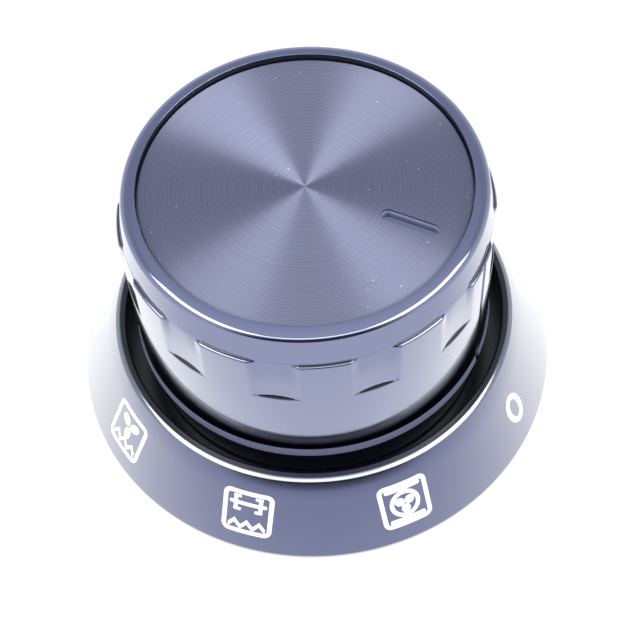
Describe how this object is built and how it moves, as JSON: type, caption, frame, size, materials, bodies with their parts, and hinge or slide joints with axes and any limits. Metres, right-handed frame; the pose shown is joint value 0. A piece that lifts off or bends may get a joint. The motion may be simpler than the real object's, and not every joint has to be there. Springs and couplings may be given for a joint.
{
  "type": "oven selector knob",
  "caption": "Oven selector knob: a fluted metallised grip with a spun metal disc and a pointer slot, turning in a flared ring printed with cooking symbols",
  "frame": {"origin": "centre of the flared ring's foot, on the turning axis, in the plane of the appliance's panel", "axes": "+Z runs out of the panel along the turning axis, -Y is the way the pointer faces at rest, +X is to the right of the pointer seen from above"},
  "size_m": [0.0578, 0.0578, 0.0337],
  "materials": {
    "ring_plastic": "metallic grey lacquer, glossy",
    "hub_plastic": "black, moulded",
    "bush_plastic": "natural nylon",
    "spring_steel": "rolled strip",
    "grip_plastic": "metallised, satin gloss",
    "disc_metal": "spun, fine concentric turning lines"
  },
  "bodies": {
    "ring": {"bezel": "ring_plastic"},
    "knob": {"hub": "hub_plastic", "shaft_bush": "bush_plastic", "shaft_spring": "spring_steel", "grip_cap": "grip_plastic", "spun_disc": "disc_metal"}
  },
  "joints": [
    {"name": "knob_turn", "type": "hinge", "parent": "ring", "child": "knob", "pos_m": [0, 0, 0.005], "axis": [0, 0, 1], "continuous": true}
  ]
}
